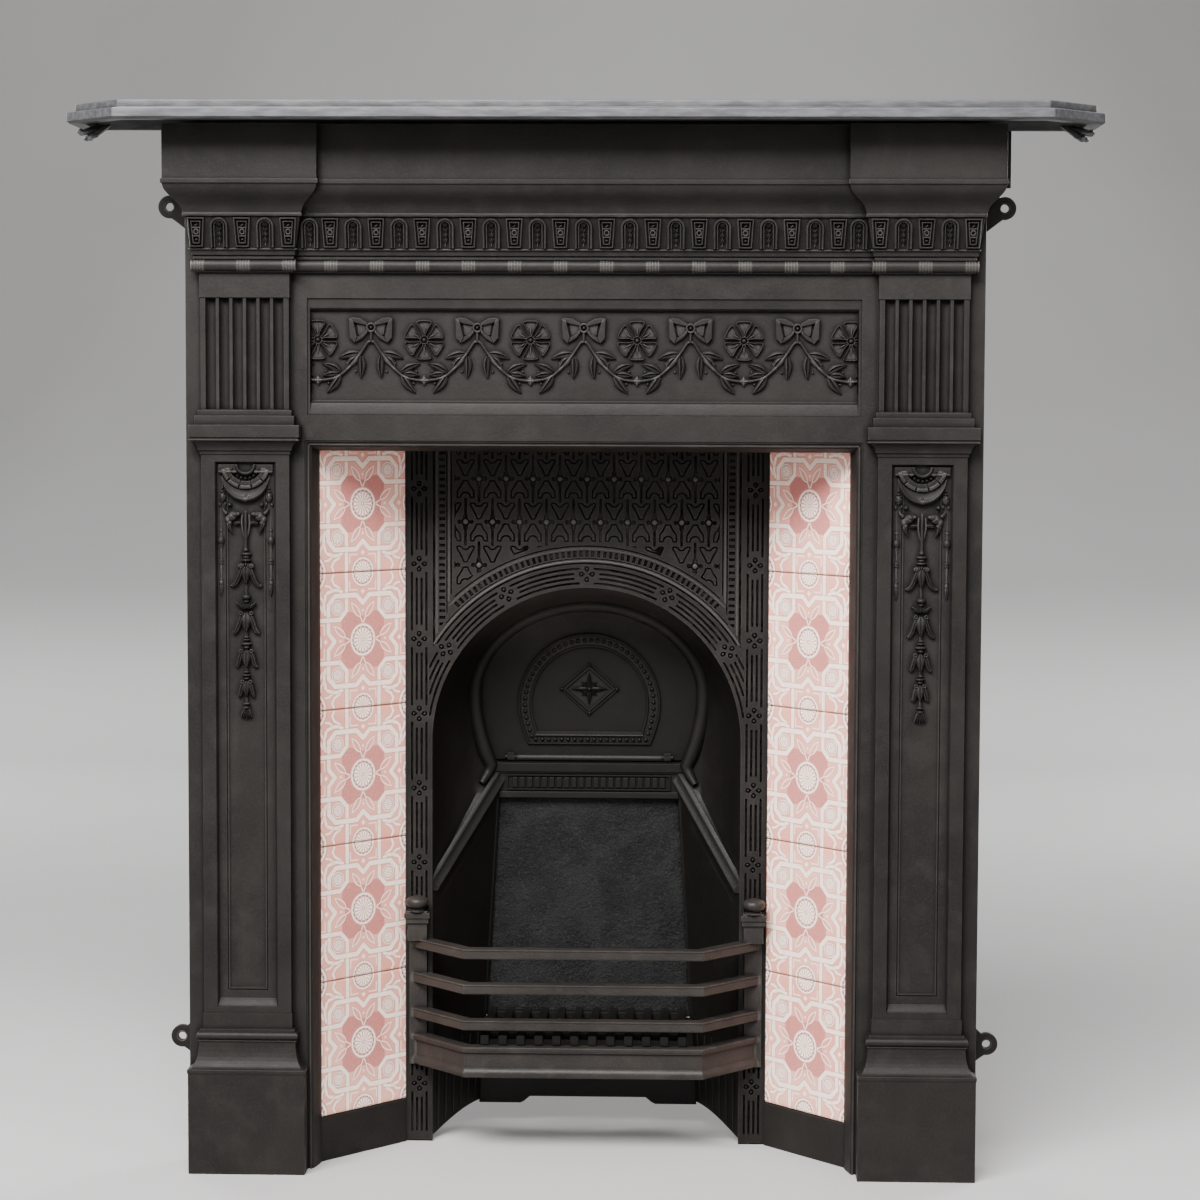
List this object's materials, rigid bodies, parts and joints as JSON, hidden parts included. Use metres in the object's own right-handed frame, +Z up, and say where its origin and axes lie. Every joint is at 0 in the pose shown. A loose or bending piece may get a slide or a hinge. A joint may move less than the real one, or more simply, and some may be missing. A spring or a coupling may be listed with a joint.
{
  "type": "cast-iron combination fireplace surround",
  "caption": "Cast-iron fireplace surround in one with its tiled insert, arched hood, flue damper, canted front bars, grate and mantel shelf.",
  "frame": {"origin": "centre of the bounding box on the floor plane, under the feet", "axes": "+Z up, -Y towards the room that the fireplace faces, +X to the right of someone facing it"},
  "size_m": [1.114, 0.3558, 1.17],
  "materials": {
    "black_iron": "black-leaded, satin, rubbed brighter on the edges",
    "shelf_iron": "black-leaded top with a front edge worn to bright grey iron",
    "glazed_tile": "glazed cream tile with a pink printed geometric pattern",
    "firebrick": "rough pitted firebrick, darkened with black"
  },
  "bodies": {
    "fireplace": {"surround_casting": "black_iron", "mantel_shelf": "shelf_iron", "tiled_insert": "black_iron", "hood_casting": "black_iron", "fireback_brick": "firebrick", "bottom_grate": "black_iron", "front_bars": "black_iron", "tile_left_1": "glazed_tile", "tile_left_2": "glazed_tile", "tile_left_3": "glazed_tile", "tile_left_4": "glazed_tile", "tile_left_5": "glazed_tile", "tile_right_1": "glazed_tile", "tile_right_2": "glazed_tile", "tile_right_3": "glazed_tile", "tile_right_4": "glazed_tile", "tile_right_5": "glazed_tile"},
    "damper": {"flue_damper": "black_iron"}
  },
  "joints": [
    {"name": "damper_hinge", "type": "hinge", "parent": "fireplace", "child": "damper", "pos_m": [0, 0.1484, 0.4315], "axis": [-1, 0, 0], "range_deg": [0, 22]}
  ]
}
